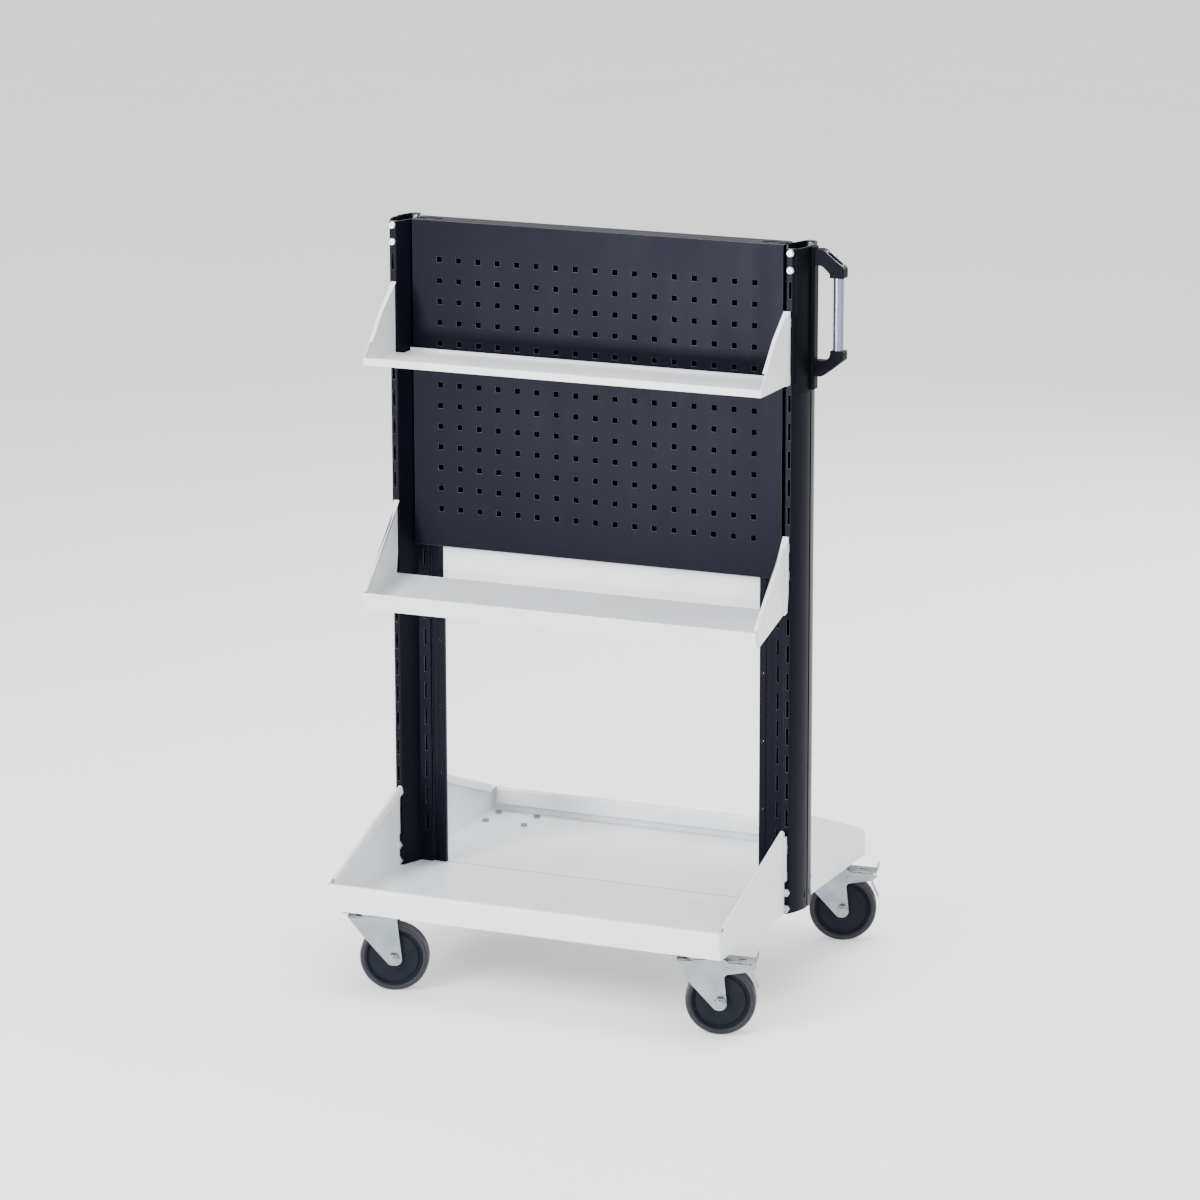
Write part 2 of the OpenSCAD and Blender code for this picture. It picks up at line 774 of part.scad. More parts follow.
// Socket screws through the arms, the bar and the cover into the post, each with its nut
module handle_screws() {
    nut_x = post_reach - seam_deep - post_wall - 5;
    color(zinc) placed() for (z = arm_screw_z) {
        translate([nut_x - 2, 0, z]) rotate([0, 90, 0])
            cylinder(h = bar_x + 10 - nut_x + 2, r = arm_screw_r);
        difference() {
            translate([bar_x + 10, 0, z]) rotate([0, 90, 0]) cylinder(h = 6, r = 5);
            translate([bar_x + 13, 0, z]) rotate([0, 90, 0]) cylinder(h = 6, r = 2.9, $fn = 6);
        }
        translate([nut_x, 0, z]) rotate([0, 90, 0]) cylinder(h = 4.8, r = 5.7, $fn = 6);
    }
}

// ---- Castors ----

// Places what is fixed under a corner of the trays, around the swivel axis
module at_swivel(corner) {
    placed() translate([corner[0] * swivel_x, corner[1] * swivel_y, 0]) children();
}

// Places what turns with the fork: the axle's X is 0, the swivel axis is at X = -trail
module at_castor(corner) {
    at_swivel(corner) rotate([0, 0, castor_turn]) translate([trail, 0, 0]) children();
}

// The four bolt positions around a swivel axis
module at_bolts() {
    for (sx = [-1, 1], sy = [-1, 1])
        translate([sx * bolt_x / 2, sy * bolt_y / 2, 0]) children();
}

module castor_plate(corner) {
    color(zinc) at_swivel(corner) difference() {
        translate([0, 0, deck_z - plate_t]) linear_extrude(plate_t)
            polygon(rounded(
                [for (p = [[-1, -1], [1, -1], [1, 1], [-1, 1]]) [p[0] * plate_x, p[1] * plate_y] / 2],
                [for (i = [0:3]) plate_corner_r]));
        translate([0, 0, deck_z - plate_t - past]) {
            at_bolts() cylinder(h = plate_t + 2 * past, r = screw_hole_r);
            cylinder(h = plate_t + 2 * past, r = kingpin_r);
        }
    }
}

module castor_bolts() {
    color(zinc) for (corner = corners) at_swivel(corner) at_bolts() {
        translate([0, 0, bolt_end_z])
            cylinder(h = deck_z + sheet - bolt_end_z + past, r = screw_r);
        translate([0, 0, deck_z + sheet]) cylinder(h = bolt_head_h, r = bolt_head_r, $fn = 6);
    }
}

module castor_nuts() {
    color(zinc) for (corner = corners) at_swivel(corner) at_bolts() difference() {
        translate([0, 0, deck_z - plate_t - nut_h]) cylinder(h = nut_h, r = nut_corner_r, $fn = 6);
        translate([0, 0, deck_z - plate_t - nut_h - past])
            cylinder(h = nut_h + 2 * past, r = screw_r);
    }
}

// Pressed cup under each plate that covers the ball race
module swivel_cups() {
    under = deck_z - plate_t;
    color(zinc) for (corner = corners) at_swivel(corner) rotate_extrude() polygon([
        [12, under], [28.5, under], [31, under - 2.5], [31, crown_z + 1], [29.5, crown_z + 1],
        [29.5, under - 3], [27.5, under - 1.7], [24, under - 4.6], [19, under - 4.6],
        [15, under - 1.7], [12, under - 1.7]]);
}

module swivel_balls() {
    color(zinc) for (corner = corners) at_swivel(corner)
        for (i = [0:ball_count - 1])
            rotate([0, 0, i * 360 / ball_count])
                translate([race_r, 0, crown_z + ball_r + gap]) sphere(r = ball_r, $fn = 24);
}

// Central rivet: flush on top, with a wide head below the fork's crown
module kingpin(corner) {
    low = crown_z - crown_t - gap;
    color(zinc) at_swivel(corner) rotate_extrude() polygon([
        [0, low - 5], [8, low - 5], [11, low - 3], [11, low], [kingpin_r, low],
        [kingpin_r, deck_z], [0, deck_z]]);
}

// Outlines of the forks' legs, anticlockwise from the rear end of the crown
leg_plain = [[-82, crown_z - 1], [-50, 99], [-8, 48.5], [16.2, 48.5], [6, crown_z - 1]];
plain_radii = [0, 40, 12, 12, 0];
leg_braked = [
    [-77, crown_z - 1], [-52, 96], [-9, 46.5], [12.2, 46.5], [6, 111.5], [55, 118.5],
    [63, 125], [62.3, 129.5], [14, 134.3], [4, crown_z - 1]];
braked_radii = [0, 20, 12, 12, 7, 5, 2, 2, 10, 0];

// One leg at +Y: flat beside the wheel, flared outwards behind the bend line
module leg(outline) {
    reach = 100;
    spread = reach * tan(flare);
    intersection() {
        translate([0, leg_in + leg_t + spread, 0]) rotate([90, 0, 0])
            linear_extrude(leg_t + spread) polygon(outline);
        linear_extrude(deck_z) polygon([
            [reach, leg_in], [reach, leg_in + leg_t], [bend_x, leg_in + leg_t],
            [bend_x - reach, leg_in + leg_t + spread], [bend_x - reach, leg_in + spread],
            [bend_x, leg_in]]);
    }
}

module fork_body(outline, radii, front_x) {
    outer = leg_in + leg_t;
    back_x = outline[0][0];
    back_y = outer + (bend_x - back_x) * tan(flare);
    difference() {
        union() {
            front_and_rear() leg(rounded(outline, radii));
            translate([0, 0, crown_z - crown_t]) linear_extrude(crown_t) {
                polygon([[back_x, -back_y], [bend_x, -outer], [front_x, -outer],
                         [front_x, outer], [bend_x, outer], [back_x, back_y]]);
                translate([-trail, 0]) circle(r = crown_r);
            }
        }
        translate([-trail, 0, crown_z - crown_t - past])
            cylinder(h = crown_t + 2 * past, r = kingpin_r + 0.1);
        translate([0, 0, wheel_r]) rotate([90, 0, 0])
            cylinder(h = 80, r = axle_r, center = true);
    }
}

module plain_fork(corner) {
    color(zinc) at_castor(corner) fork_body(leg_plain, plain_radii, 6);
}

module braked_fork(corner) {
    color(zinc) at_castor(corner) difference() {
        fork_body(leg_braked, braked_radii, 0);
        translate([pivot[0], 0, pivot[1]]) rotate([90, 0, 0])
            cylinder(h = 80, r = pivot_r, center = true);
    }
}

// Axle bolt with its nut, and the tube that keeps the legs apart
module axle(corner) {
    outer = leg_in + leg_t;
    color(zinc) at_castor(corner) translate([0, 0, wheel_r]) rotate([90, 0, 0]) {
        translate([0, 0, -outer - 1]) cylinder(h = 2 * outer + 13, r = axle_r);
        translate([0, 0, -outer - 6]) cylinder(h = 6, r = 10.2, $fn = 6);
        translate([0, 0, outer]) cylinder(h = 8, r = 10.2, $fn = 6);
        difference() {
            cylinder(h = 2 * leg_in, r = 8, center = true);
            cylinder(h = 3 * leg_in, r = axle_r - 0.5, center = true);
        }
    }
}

module bearing(corner) {
    color(black) at_castor(corner) translate([0, 0, wheel_r]) rotate([90, 0, 0]) difference() {
        cylinder(h = 35, r = 11, center = true);
        cylinder(h = 40, r = 8.05, center = true);
    }
}

// A wheel profile is drawn as (radius, distance along the axle) and mirrored about the middle
module turned(half_profile) {
    rotate([90, 0, 0]) rotate_extrude($fn = 96)
        polygon(concat(half_profile,
            [for (i = [len(half_profile) - 1:-1:0]) [half_profile[i][0], -half_profile[i][1]]]));
}

rim_r = 52;

module wheel(corner) {
    color(wheel_grey) at_castor(corner) translate([0, 0, wheel_r])
        turned([[11, 17.8], [15, 17.8], [17, 13], [43.5, 12], [45.5, 10], [48, 10], [49.5, 14.5],
                [rim_r, 14.5]]);
}

module tyre(corner) {
    color(tyre_black) at_castor(corner) translate([0, 0, wheel_r])
        turned(concat([[rim_r, 14.5], [53.5, tyre_half]],
            [for (a = [90:-15:15]) [wheel_r - 6 + 6 * cos(a), tyre_half - 6 + 6 * sin(a)]],
            [[wheel_r, 5]]));
}

// Foot pedal of the wheel brake: a bent plate with two ears on the pin and a shoe for the tyre
module pedal(corner) {
    plate_line = [[4, 136.6], [30, 134.6], [61, 132], [65.5, 144.5]];
    shoe_line = [[50, 133], [54.5, 108], [65, 84.5]];
    ear = [[pivot[0] - 5, pivot[1] - 4], [pivot[0] + 5, pivot[1] - 4], [30, 133.8], [5, 135.8]];
    color(zinc) at_castor(corner) difference() {
        union() {
            difference() {
                cross_plate(pedal_half, strip(plate_line, 2.4));
                box([31, -3, 120], [44, 3, 160]);
            }
            cross_plate(9, strip(shoe_line, 3));
            front_and_rear() translate([0, -pedal_half + 0.9, 0])
                cross_plate(0.9, rounded(ear, [3.5, 3.5, 0, 0]));
        }
        translate([pivot[0], 0, pivot[1]]) rotate([90, 0, 0])
            cylinder(h = 80, r = pivot_r + 0.08, center = true);
    }
}

// A rivet through each leg, on which the pedal's ears turn
module pedal_pin(corner) {
    outer = leg_in + leg_t;
    color(zinc) at_castor(corner) front_and_rear() translate([pivot[0], -pin_from, pivot[1]])
        rotate([90, 0, 0]) {
            cylinder(h = outer - pin_from, r = pivot_r);
            translate([0, 0, outer - pin_from]) cylinder(h = 1.5, r = 4);
        }
}

module front_left_plate() castor_plate(front_left);
module front_right_plate() castor_plate(front_right);
module rear_left_plate() castor_plate(rear_left);
module rear_right_plate() castor_plate(rear_right);
module front_left_kingpin() kingpin(front_left);
module front_right_kingpin() kingpin(front_right);
module rear_left_kingpin() kingpin(rear_left);
module rear_right_kingpin() kingpin(rear_right);
module front_left_fork() plain_fork(front_left);
module front_right_fork() braked_fork(front_right);
module rear_left_fork() plain_fork(rear_left);
module rear_right_fork() braked_fork(rear_right);
module front_left_axle() axle(front_left);
module front_right_axle() axle(front_right);
module rear_left_axle() axle(rear_left);
module rear_right_axle() axle(rear_right);
module front_left_bearing() bearing(front_left);
module front_right_bearing() bearing(front_right);
module rear_left_bearing() bearing(rear_left);
module rear_right_bearing() bearing(rear_right);
module front_left_wheel() wheel(front_left);
module front_right_wheel() wheel(front_right);
module rear_left_wheel() wheel(rear_left);
module rear_right_wheel() wheel(rear_right);
module front_left_tyre() tyre(front_left);
module front_right_tyre() tyre(front_right);
module rear_left_tyre() tyre(rear_left);
module rear_right_tyre() tyre(rear_right);
module front_right_pedal() pedal(front_right);
module rear_right_pedal() pedal(rear_right);
module front_right_pedal_pin() pedal_pin(front_right);
module rear_right_pedal_pin() pedal_pin(rear_right);

left_post();
right_post();
base_plate();
cross_rail();
rail_bolts();
front_panel();
rear_panel();
front_tray();
rear_tray();
top_shelf();
lower_shelf();
top_screws();
bottom_screws();
nut_strips();
handle_cover();
handle_bar();
handle_upper_arm();
handle_lower_arm();
handle_tube();
handle_screws();
castor_bolts();
castor_nuts();
swivel_cups();
swivel_balls();
front_left_plate();
front_right_plate();
rear_left_plate();
rear_right_plate();
front_left_kingpin();
front_right_kingpin();
rear_left_kingpin();
rear_right_kingpin();
front_left_fork();
front_right_fork();
rear_left_fork();
rear_right_fork();
front_left_axle();
front_right_axle();
rear_left_axle();
rear_right_axle();
front_left_bearing();
front_right_bearing();
rear_left_bearing();
rear_right_bearing();
front_left_wheel();
front_right_wheel();
rear_left_wheel();
rear_right_wheel();
front_left_tyre();
front_right_tyre();
rear_left_tyre();
rear_right_tyre();
front_right_pedal();
rear_right_pedal();
front_right_pedal_pin();
rear_right_pedal_pin();
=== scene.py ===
import json
import math

import bmesh
import bpy
from mathutils import Matrix, Vector


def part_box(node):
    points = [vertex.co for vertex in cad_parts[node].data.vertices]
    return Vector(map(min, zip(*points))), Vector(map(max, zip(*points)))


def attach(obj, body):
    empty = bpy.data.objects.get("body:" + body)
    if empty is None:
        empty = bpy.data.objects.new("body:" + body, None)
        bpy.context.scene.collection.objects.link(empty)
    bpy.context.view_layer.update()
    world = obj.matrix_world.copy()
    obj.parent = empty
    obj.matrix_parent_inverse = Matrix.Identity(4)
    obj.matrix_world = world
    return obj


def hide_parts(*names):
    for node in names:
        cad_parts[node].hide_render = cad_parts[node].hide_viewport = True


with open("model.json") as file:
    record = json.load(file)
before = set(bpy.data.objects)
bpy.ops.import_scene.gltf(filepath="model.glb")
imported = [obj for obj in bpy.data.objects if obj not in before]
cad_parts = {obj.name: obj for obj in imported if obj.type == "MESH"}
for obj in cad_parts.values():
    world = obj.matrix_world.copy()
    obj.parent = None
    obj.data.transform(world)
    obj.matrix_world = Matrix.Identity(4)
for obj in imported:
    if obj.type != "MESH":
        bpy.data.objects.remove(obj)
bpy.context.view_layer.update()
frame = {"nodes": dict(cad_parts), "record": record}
nodes = frame["nodes"]
record = frame["record"]
slot_of = {part["node"]: part["material_slot"] for part in record["subparts"]}
body_of = {node: body for body, members in record["behaviour"]["bodies"].items()
           for node in members}
joints = {joint["name"]: joint for joint in record["behaviour"]["joints"]}

# Lengths are in metres, in the frame that the CAD shares.
CORNERS = ("front_left", "front_right", "rear_left", "rear_right")
BRAKED = ("front_right", "rear_right")


# ---- Camera ----

CAMERA_PLACE = (3.4969, -8.0610, 2.8222)
CAMERA_YAW = 23.647
CAMERA_DOWN = 13.669
CAMERA_ROLL = -0.119
CAMERA_LENS = 151.17
SENSOR_WIDTH = 36
CAMERA_REACH = 60


def add_camera():
    camera = bpy.data.objects.new("camera", bpy.data.cameras.new("camera"))
    camera.data.lens = CAMERA_LENS
    camera.data.sensor_width = SENSOR_WIDTH
    camera.data.clip_end = CAMERA_REACH
    turn = (Matrix.Rotation(math.radians(CAMERA_YAW), 4, "Z")
            @ Matrix.Rotation(math.radians(90 - CAMERA_DOWN), 4, "X")
            @ Matrix.Rotation(math.radians(CAMERA_ROLL), 4, "Z"))
    camera.matrix_world = Matrix.Translation(CAMERA_PLACE) @ turn
    bpy.context.scene.collection.objects.link(camera)
    bpy.context.scene.camera = camera


# ---- Materials ----

class Shader:
    """A material with one Principled shader, and short ways to feed it."""

    def __init__(self, name, colour, roughness, metallic=0.0, **constants):
        self.material = bpy.data.materials.new(name)
        self.material.use_nodes = True
        self.tree = self.material.node_tree
        self.shader = self.tree.nodes["Principled BSDF"]
        self.shader.inputs["Base Color"].default_value = (*colour, 1)
        self.shader.inputs["Roughness"].default_value = roughness
        self.shader.inputs["Metallic"].default_value = metallic
        for socket, value in constants.items():
            self.shader.inputs[socket.replace("_", " ")].default_value = value
        self.place = self.add("ShaderNodeTexCoord").outputs["Object"]
        self.bump_normal = None

    def add(self, kind, links=None, **settings):
        node = self.tree.nodes.new(kind)
        for key, value in settings.items():
            setattr(node, key, value)
        for socket, source in (links or {}).items():
            if isinstance(source, bpy.types.NodeSocket):
                self.tree.links.new(source, node.inputs[socket])
            else:
                node.inputs[socket].default_value = source
        return node

    def feed(self, socket, source):
        self.tree.links.new(source, self.shader.inputs[socket])

    def stretched(self, scale):
        """The object's own coordinates, scaled so that a pattern runs longer one way."""
        node = self.add("ShaderNodeMapping", {"Vector": self.place, "Scale": scale})
        return node.outputs["Vector"]

    def noise(self, size, detail=3.0, place=None):
        """Noise whose features are about size metres across."""
        return self.add("ShaderNodeTexNoise", {
            "Vector": place or self.place, "Scale": 1 / size, "Detail": detail,
            "Roughness": 0.55}).outputs["Fac"]

    def ramp(self, source, *stops):
        """Maps a value to colours, or to greys for a number, at (position, colour) stops."""
        node = self.add("ShaderNodeValToRGB", {"Fac": source})
        ramp = node.color_ramp
        while len(ramp.elements) < len(stops):
            ramp.elements.new(0.5)
        for element, (position, colour) in zip(ramp.elements, stops):
            element.position = position
            element.color = (*colour, 1) if isinstance(colour, tuple) else (colour,) * 3 + (1,)
        return node.outputs["Color"]

    def bump(self, height, distance, strength=1.0):
        links = {"Height": height, "Distance": distance, "Strength": strength}
        if self.bump_normal:
            links["Normal"] = self.bump_normal
        self.bump_normal = self.add("ShaderNodeBump", links).outputs["Normal"]
        self.feed("Normal", self.bump_normal)


# Turned pieces keep each vertex's radius under this name, for the tread's bands.
REACH = "reach"
TYRE_INNER = 0.0520
TYRE_OUTER = 0.0625


def shaded(colour, factor):
    return tuple(min(1.0, channel * factor) for channel in colour)


def powder_coat(name, colour, roughness, gloss, peel, tint=(1, 1, 1)):
    """Powder-coated sheet steel: an even coat with fine orange peel and soft handling marks."""
    coat = Shader(name, colour, roughness, Specular_IOR_Level=gloss, Specular_Tint=(*tint, 1))
    cloud = coat.noise(0.16, 2)
    coat.feed("Base Color", coat.ramp(
        cloud, (0.3, shaded(colour, 0.94)), (0.7, shaded(colour, 1.06))))
    wiped = coat.noise(0.05, 5, coat.stretched((1, 1, 0.25)))
    coat.feed("Roughness", coat.ramp(wiped, (0.3, roughness - 0.02), (0.75, roughness + 0.03)))
    coat.bump(coat.noise(0.0022, 2), peel)
    return coat.material


def zinc_plate(name, colour, straw, roughness):
    """Zinc plate: bluish metal that shifts a little towards straw yellow, finely rolled."""
    metal = Shader(name, colour, roughness, metallic=1.0)
    cloud = metal.noise(0.045, 1.5)
    metal.feed("Base Color", metal.ramp(
        cloud, (0.3, shaded(colour, 0.85)), (0.5, shaded(colour, 1.05)), (0.72, straw)))
    metal.feed("Roughness", metal.ramp(
        metal.noise(0.006, 4), (0.3, roughness - 0.07), (0.7, roughness + 0.1)))
    metal.bump(metal.noise(0.0012, 3), 0.00004)
    return metal.material


def moulded_plastic(name, colour, roughness, grain):
    """Moulded plastic with a fine spark-eroded grain."""
    plastic = Shader(name, colour, roughness, Specular_IOR_Level=0.07,
                     Specular_Tint=(0.82, 0.88, 1.0, 1))
    cloud = plastic.noise(0.03, 2)
    plastic.feed("Base Color", plastic.ramp(
        cloud, (0.3, shaded(colour, 0.88)), (0.7, shaded(colour, 1.12))))
    plastic.feed("Roughness", plastic.ramp(
        plastic.noise(0.004, 3), (0.3, roughness - 0.05), (0.7, roughness + 0.06)))
    plastic.bump(plastic.noise(grain, 2), 0.00006)
    return plastic.material


def anodised_tube(name, colour, roughness):
    """Satin anodised aluminium, brushed lengthwise."""
    metal = Shader(name, colour, roughness, metallic=1.0)
    lines = metal.noise(0.0009, 4, metal.stretched((1, 1, 0.02)))
    metal.feed("Base Color", metal.ramp(
        lines, (0.3, shaded(colour, 0.9)), (0.7, shaded(colour, 1.1))))
    metal.feed("Roughness", metal.ramp(lines, (0.3, roughness - 0.06), (0.7, roughness + 0.08)))
    metal.bump(lines, 0.00003)
    return metal.material


def tread_rubber(name, side, shoulder, roughness):
    """Thermoplastic rubber: slate sides, a paler scuffed shoulder and tread."""
    rubber = Shader(name, side, roughness, Specular_IOR_Level=0.35)
    reach = rubber.add("ShaderNodeAttribute", attribute_name=REACH).outputs["Fac"]
    band = rubber.add("ShaderNodeMapRange", {
        "Value": reach, "From Min": TYRE_INNER, "From Max": TYRE_OUTER}).outputs["Result"]
    bands = rubber.ramp(band, (0.0, shaded(side, 0.45)), (0.12, side), (0.72, shaded(side, 1.2)),
                        (0.84, shoulder), (1.0, shaded(shoulder, 0.8)))
    scuffs = rubber.ramp(rubber.noise(0.012, 4), (0.3, 0.8), (0.7, 1.0))
    rubber.feed("Base Color", rubber.add("ShaderNodeMixRGB", {
        "Fac": 1.0, "Color1": bands, "Color2": scuffs}, blend_type="MULTIPLY").outputs["Color"])
    rubber.feed("Roughness", rubber.ramp(
        rubber.noise(0.005, 4), (0.3, roughness - 0.08), (0.7, roughness + 0.08)))
    rubber.bump(rubber.noise(0.0018, 3), 0.00012)
    return rubber.material


MATERIALS = {
    "anthracite_steel": powder_coat("anthracite_steel", (0.0030, 0.0033, 0.0070), 0.34, 0.075,
                                    0.00006, (0.80, 0.82, 1.0)),
    "light_grey_steel": powder_coat("light_grey_steel", (0.75, 0.767, 0.79), 0.34, 0.5, 0.00004),
    "zinc": zinc_plate("zinc", (0.27, 0.305, 0.335), (0.37, 0.365, 0.33), 0.27),
    "black_plastic": moulded_plastic("black_plastic", (0.0022, 0.0026, 0.0042), 0.46, 0.0012),
    "bright_zinc": zinc_plate("bright_zinc", (0.70, 0.73, 0.76), (0.76, 0.75, 0.70), 0.34),
    # A paler coat for bevelled edges: a painted highlight along them.
    "painted_edge_highlight": powder_coat("painted_edge_highlight", (0.050, 0.060, 0.085), 0.34, 0.6, 0.00004),
    "grip_aluminium": anodised_tube("grip_aluminium", (0.25, 0.275, 0.35), 0.36),
    "wheel_plastic": moulded_plastic("wheel_plastic", (0.0105, 0.0120, 0.0165), 0.42, 0.0015),
    "tread": tread_rubber("tread", (0.0125, 0.0140, 0.0200), (0.070, 0.063, 0.070), 0.58),
}

# Screws in bright plate, and sheets whose bevelled edges get a paler painted highlight.
BRIGHT = ("top_screws", "bottom_screws", "handle_screws")
EDGE_HIGHLIGHTED = ("left_post", "right_post", "front_panel", "rear_panel")


def look_of(node):
    return MATERIALS["bright_zinc" if node in BRIGHT else slot_of[node]]


def carry_over():
    """Every CAD node gets the material of its slot, the screws bright zinc instead."""
    for name, obj in nodes.items():
        obj.data.materials.clear()
        obj.data.materials.append(look_of(name))


# ---- Mesh pieces ----

SHARP = math.radians(30)


def shade_smooth(bm):
    for face in bm.faces:
        face.smooth = True
    for edge in bm.edges:
        edge.smooth = len(edge.link_faces) == 2 and edge.calc_face_angle() < SHARP


def make_object(name, bm, material):
    bmesh.ops.recalc_face_normals(bm, faces=bm.faces)
    shade_smooth(bm)
    mesh = bpy.data.meshes.new(name)
    bm.to_mesh(mesh)
    bm.free()
    mesh.materials.append(material)
    obj = bpy.data.objects.new(name, mesh)
    bpy.context.scene.collection.objects.link(obj)
    return obj


def add_piece(name, bm, node):
    """Makes the piece that stands for a CAD node."""
    obj = make_object(name, bm, look_of(node))
    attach(obj, body_of[node])
    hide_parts(node)
    return obj


def add_detail(name, bm, body, slot):
    """Makes a small piece that the CAD leaves out, riding on a body."""
    obj = make_object(name, bm, MATERIALS[slot])
    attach(obj, body)


def round_edges(obj, width, segments, clamped):
    bevel = obj.modifiers.new("round_edges", "BEVEL")
    bevel.width = width
    bevel.segments = segments
    bevel.limit_method = "ANGLE"
    bevel.angle_limit = SHARP
    bevel.use_clamp_overlap = clamped
    bevel.harden_normals = True


def rounded_copy(node, width, segments=2, clamped=False):
    """The node's own shape with its sharp edges broken, as deburred and coated sheet has them."""
    bm = bmesh.new()
    bm.from_mesh(nodes[node].data)
    bmesh.ops.remove_doubles(bm, verts=bm.verts, dist=2e-6)
    bmesh.ops.dissolve_limit(bm, angle_limit=math.radians(0.6), verts=bm.verts, edges=bm.edges)
    obj = add_piece(node + "_piece", bm, node)
    round_edges(obj, width, segments, clamped)
    # The bevels of these sheets take a paler coat, a painted highlight along their edges.
    if node in EDGE_HIGHLIGHTED:
        obj.data.materials.append(MATERIALS["painted_edge_highlight"])
        obj.modifiers["round_edges"].material = 1


def arc(centre, radius, start, end, steps):
    """Points on an arc between two angles in degrees."""
    return [(centre[0] + radius * math.cos(math.radians(start + (end - start) * i / steps)),
             centre[1] + radius * math.sin(math.radians(start + (end - start) * i / steps)))
            for i in range(steps + 1)]


def lathe(profile, steps):
    """Turns a closed outline of (radius, place along Y) round the Y axis, and notes each radius."""
    bm = bmesh.new()
    reach = bm.verts.layers.float.new(REACH)
    rings = []
    for i in range(steps):
        a = 2 * math.pi * i / steps
        rings.append([bm.verts.new((r * math.cos(a), y, r * math.sin(a))) for r, y in profile])
        for vert, (r, _) in zip(rings[-1], profile):
            vert[reach] = r
    for i in range(steps):
        here, there = rings[i], rings[(i + 1) % steps]
        for j in range(len(profile)):
            k = (j + 1) % len(profile)
            bm.faces.new((here[j], here[k], there[k], there[j]))
    return bm


def moved(bm, matrix):
    bmesh.ops.transform(bm, matrix=matrix, verts=bm.verts)
    return bm


def onto_axle(corner):
    """Takes what is turned round the Y axis at the origin onto a corner's axle."""
    roll = joints[corner + "_wheel_roll"]
    turn = Vector((0, 1, 0)).rotation_difference(Vector(roll["axis"]))
    return Matrix.Translation(roll["pos_m"]) @ turn.to_matrix().to_4x4()


def mirrored(half):
    """A closed outline from its half on the +Y side."""
    return half + [(r, -y) for r, y in reversed(half)]


LATHE_STEPS = 128
TYRE_HALF = 0.016


def add_wheel(corner):
    """Moulded wheel centre: hub boss, dished web, annular groove and raised rim."""
    node = corner + "_wheel"
    low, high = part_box(node)
    rim = (high.z - low.z) / 2
    half = [(0.0110, 0.0172), (0.0116, 0.0178), *arc((0.0144, 0.0172), 0.0006, 90, 0, 3),
            (0.0154, 0.0142), *arc((0.0170, 0.0142), 0.0014, 180, 255, 4), (0.0300, 0.0122),
            (0.0428, 0.0120), *arc((0.0434, 0.0114), 0.0006, 90, 20, 3),
            *arc((0.0456, 0.0106), 0.0012, 200, 270, 3),
            *arc((0.0474, 0.0106), 0.0012, 270, 340, 3),
            (0.0494, 0.0138), *arc((0.0503, 0.0138), 0.0008, 160, 90, 3),
            (rim - 0.0006, 0.0146), (rim, 0.0143)]
    add_piece(node + "_centre", moved(lathe(mirrored(half), LATHE_STEPS), onto_axle(corner)), node)


def add_tyre(corner):
    """Tyre with rounded shoulders, a flat tread and a fine parting line in its middle."""
    node = corner + "_tyre"
    low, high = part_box(node)
    radius = (high.z - low.z) / 2
    shoulder, ridge = 0.0062, 0.00025
    half = [(TYRE_INNER, 0.0143), (TYRE_INNER + 0.0004, 0.0150), (TYRE_INNER + 0.0012, 0.0154),
            (TYRE_INNER + 0.0020, TYRE_HALF - 0.0001),
            *arc((radius - ridge - shoulder, TYRE_HALF - shoulder), shoulder, 90, 0, 10),
            (radius - ridge, 0.0060), (radius - ridge, 0.0007), (radius, 0.0003)]
    add_piece(node + "_tread", moved(lathe(mirrored(half), LATHE_STEPS), onto_axle(corner)), node)


def add_grip():
    """Grip tube with rolled ends, held in the arms' sockets."""
    node = "handle_tube"
    low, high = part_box(node)
    radius, wall = (high.x - low.x) / 2, 0.0015
    half_length = (high.z - low.z) / 2
    outline = [(radius - wall, -half_length), (radius - 0.0003, -half_length),
               (radius, -half_length + 0.0003), (radius, half_length - 0.0003),
               (radius - 0.0003, half_length), (radius - wall, half_length)]
    add_piece("grip_tube", moved(lathe(outline, 96), upright((low + high) / 2)), node)


def upright(place):
    """Takes what is turned round the Y axis at the origin to an upright axis through a place."""
    return Matrix.Translation(place) @ Matrix.Rotation(math.pi / 2, 4, "X")


TRAY_SHEET = 0.0015


def add_seam_shadow_strip():
    """A dark strip laid on the real joint between the two trays' floors: a painted shadow of the
    gap.
    """
    front_low, front_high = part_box("front_tray")
    _, plate_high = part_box("base_plate")
    floor_top = plate_high.z + TRAY_SHEET
    half_width, proud, margin = 0.0007, 0.00015, 0.012
    bm = bmesh.new()
    bmesh.ops.create_cube(bm, size=1)
    size = (front_high.x - front_low.x - 2 * margin, 2 * half_width, 2 * proud)
    middle = ((front_low.x + front_high.x) / 2, 0, floor_top)
    add_detail("tray_seam_shadow", moved(bm, Matrix.Translation(middle) @ Matrix.Diagonal((*size, 1))),
               "frame", "anthracite_steel")


SLANT_RUN = 0.040
SLANT_DROP = 0.031


